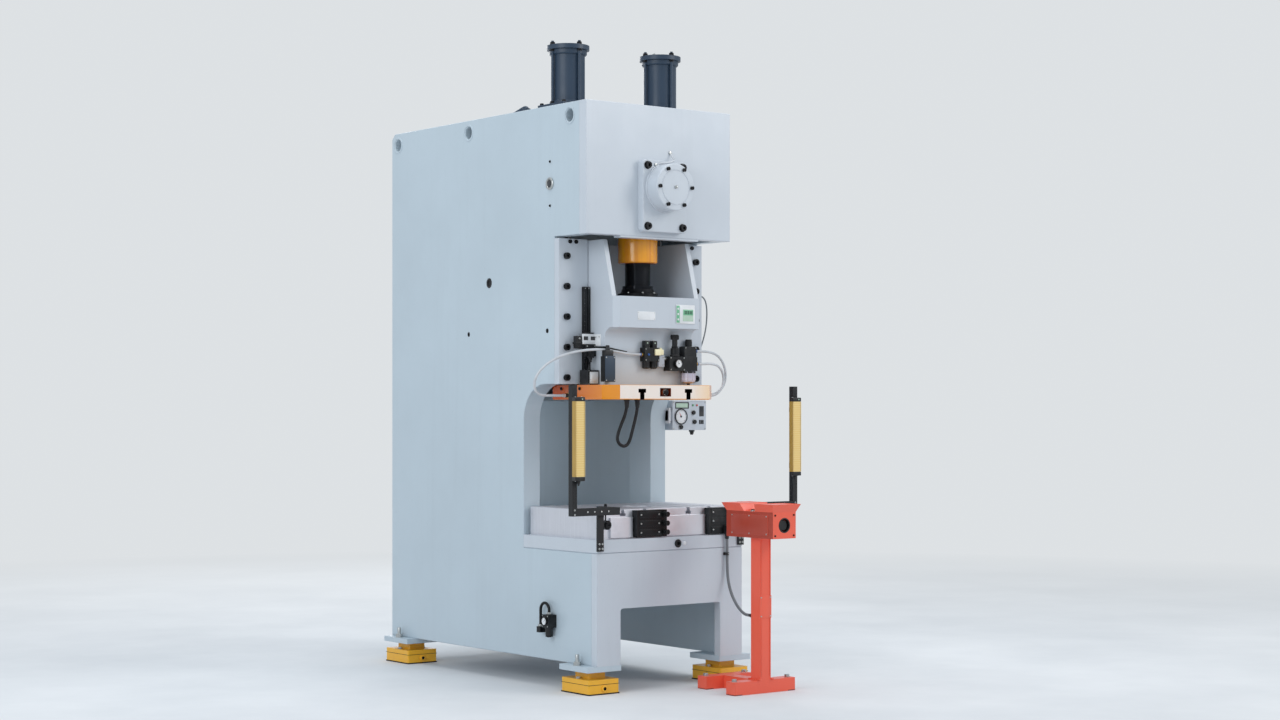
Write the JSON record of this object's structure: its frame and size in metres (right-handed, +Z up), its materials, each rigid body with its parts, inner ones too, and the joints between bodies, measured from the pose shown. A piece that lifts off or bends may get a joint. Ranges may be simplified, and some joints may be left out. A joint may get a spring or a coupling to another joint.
{
  "type": "punch press",
  "caption": "Gap-frame crank punch press with guided slide, slotted bolster, balance cylinders, light curtains, control cabinet and a palm-button control stand.",
  "frame": {"origin": "on the floor under the middle of the overall box; X = 0 is the press's centre plane", "axes": "+X to the operator's right, +Y from the operator's side to the rear, +Z up"},
  "size_m": [1.55, 2.72, 3.535],
  "materials": {
    "frame_paint": "satin light blue-grey paint",
    "front_paint": "satin pale grey paint",
    "slate_paint": "satin dark slate paint",
    "orange_paint": "gloss orange paint",
    "pad_yellow": "satin yellow-orange paint",
    "curtain_yellow": "satin yellow paint with black ends",
    "black_paint": "satin black paint",
    "stand_red": "satin orange-red paint",
    "bolster_steel": "ground steel",
    "shaft_steel": "turned steel",
    "black_oxide": "black oxide steel",
    "cast_iron": "machined cast iron",
    "black_alloy": "black anodised",
    "bare_alloy": "clear anodised",
    "motor_paint": "satin blue paint",
    "belt_rubber": "matt black rubber",
    "hose_grey": "satin pale grey tube",
    "cable_black": "matt black cable",
    "conduit_grey": "matt grey conduit",
    "black_plastic": "matt black plastic",
    "box_grey": "matt grey plastic",
    "stop_red": "gloss red plastic"
  },
  "bodies": {
    "frame": {"left_side_plate": "frame_paint", "right_side_plate": "frame_paint", "head_shell": "front_paint", "bearing_walls": "frame_paint", "bed_front_plate": "front_paint", "bed_table": "front_paint", "rear_cross_plates": "frame_paint", "bolster": "bolster_steel", "die_lift_valves": "black_alloy", "vibration_pads": "pad_yellow", "rear_guard": "frame_paint", "left_gib": "front_paint", "right_gib": "front_paint", "frame_bolts": "black_oxide", "bearing_housing": "front_paint", "bearing_cap": "front_paint", "left_balance_cylinder": "slate_paint", "right_balance_cylinder": "slate_paint", "motor": "motor_paint", "drive_belts": "belt_rubber", "left_light_curtain": "curtain_yellow", "right_light_curtain": "curtain_yellow", "left_curtain_post": "black_paint", "right_curtain_post": "black_paint", "linear_scale": "black_alloy", "operator_box": "front_paint", "control_cabinet": "frame_paint", "side_air_unit": "black_alloy", "two_hand_stand": "stand_red", "conduit_fittings": "black_plastic", "stand_conduit": "conduit_grey", "side_wire": "conduit_grey"},
    "rod": {"connecting_rod": "orange_paint"},
    "slide": {"slide_body": "front_paint", "slide_face_plate": "orange_paint", "ball_seat": "black_oxide", "balance_pistons": "shaft_steel", "slide_valves": "black_alloy", "reading_head": "black_plastic", "sensor_box": "black_plastic", "hose_ports": "black_plastic", "left_hose": "hose_grey", "right_hose": "hose_grey", "right_hose_lower": "hose_grey", "slide_cable": "cable_black"},
    "screw": {"adjusting_screw": "black_oxide"},
    "crank": {"crankshaft": "shaft_steel", "main_gear": "cast_iron"},
    "big_end": {"big_end": "cast_iron"},
    "pinion": {"pinion_shaft": "shaft_steel"},
    "flywheel": {"flywheel": "cast_iron"},
    "motor_pulley": {"motor_pulley": "cast_iron"},
    "door": {"cabinet_door": "frame_paint"},
    "latch": {"cabinet_latch": "black_paint"},
    "front_palm": {"front_palm_button": "black_plastic"},
    "rear_palm": {"rear_palm_button": "black_plastic"},
    "stop": {"stand_stop_button": "stop_red"},
    "panel_upper": {"panel_button_upper": "black_plastic"},
    "panel_lower": {"panel_button_lower": "black_plastic"},
    "panel_left": {"panel_button_left": "black_plastic"}
  },
  "joints": [
    {"name": "stroke", "type": "slide", "parent": "frame", "child": "rod", "axis": [0, 0, -1], "range_m": [0, 0.16]},
    {"name": "die_height", "type": "slide", "parent": "rod", "child": "slide", "axis": [0, 0, -1], "range_m": [0, 0.08]},
    {"name": "screw_turn", "type": "hinge", "parent": "slide", "child": "screw", "pos_m": [0, -0.42, 2.3], "axis": [0, 0, 1], "range_deg": [0, 3600]},
    {"name": "crank_turn", "type": "hinge", "parent": "frame", "child": "crank", "pos_m": [0, -0.42, 2.715], "axis": [0, 1, 0], "range_deg": [0, 180]},
    {"name": "crank_pin", "type": "hinge", "parent": "crank", "child": "big_end", "pos_m": [0, -0.42, 2.795], "axis": [0, 1, 0], "range_deg": [-180, 0]},
    {"name": "pinion_turn", "type": "hinge", "parent": "frame", "child": "pinion", "pos_m": [0, 0.3, 2.355], "axis": [0, 1, 0], "range_deg": [-720, 0]},
    {"name": "flywheel_turn", "type": "hinge", "parent": "frame", "child": "flywheel", "pos_m": [0, 0.64, 2.355], "axis": [0, 1, 0], "continuous": true},
    {"name": "motor_turn", "type": "hinge", "parent": "frame", "child": "motor_pulley", "pos_m": [0, 0.64, 1.76], "axis": [0, 1, 0], "continuous": true},
    {"name": "door_hinge", "type": "hinge", "parent": "frame", "child": "door", "pos_m": [0.711, 0.989, 1.5], "axis": [0, 0, 1], "range_deg": [0, 110]},
    {"name": "door_latch", "type": "hinge", "parent": "door", "child": "latch", "pos_m": [0.72, 0.425, 1.5], "axis": [1, 0, 0], "range_deg": [0, 90]},
    {"name": "front_palm_press", "type": "slide", "parent": "frame", "child": "front_palm", "axis": [0, 1, 0], "range_m": [0, 0.006], "stiffness_N_per_m": 500, "springref_m": -0.004},
    {"name": "rear_palm_press", "type": "slide", "parent": "frame", "child": "rear_palm", "axis": [0, -1, 0], "range_m": [0, 0.006], "stiffness_N_per_m": 500, "springref_m": -0.004},
    {"name": "stop_press", "type": "slide", "parent": "frame", "child": "stop", "axis": [0, 0, -1], "range_m": [0, 0.006]},
    {"name": "panel_upper_press", "type": "slide", "parent": "frame", "child": "panel_upper", "axis": [0, 1, 0], "range_m": [0, 0.005], "stiffness_N_per_m": 300, "springref_m": -0.004},
    {"name": "panel_lower_press", "type": "slide", "parent": "frame", "child": "panel_lower", "axis": [0, 1, 0], "range_m": [0, 0.005], "stiffness_N_per_m": 300, "springref_m": -0.004},
    {"name": "panel_left_press", "type": "slide", "parent": "frame", "child": "panel_left", "axis": [0, 1, 0], "range_m": [0, 0.005], "stiffness_N_per_m": 300, "springref_m": -0.004}
  ],
  "couplings": [
    {"joint": "crank_turn", "follows": "stroke", "rad_per_m": 19.635},
    {"joint": "crank_pin", "follows": "stroke", "rad_per_m": -19.635},
    {"joint": "pinion_turn", "follows": "stroke", "rad_per_m": -78.54},
    {"joint": "motor_turn", "follows": "flywheel_turn", "ratio": 3.5},
    {"joint": "screw_turn", "follows": "die_height", "rad_per_m": 785.4}
  ]
}
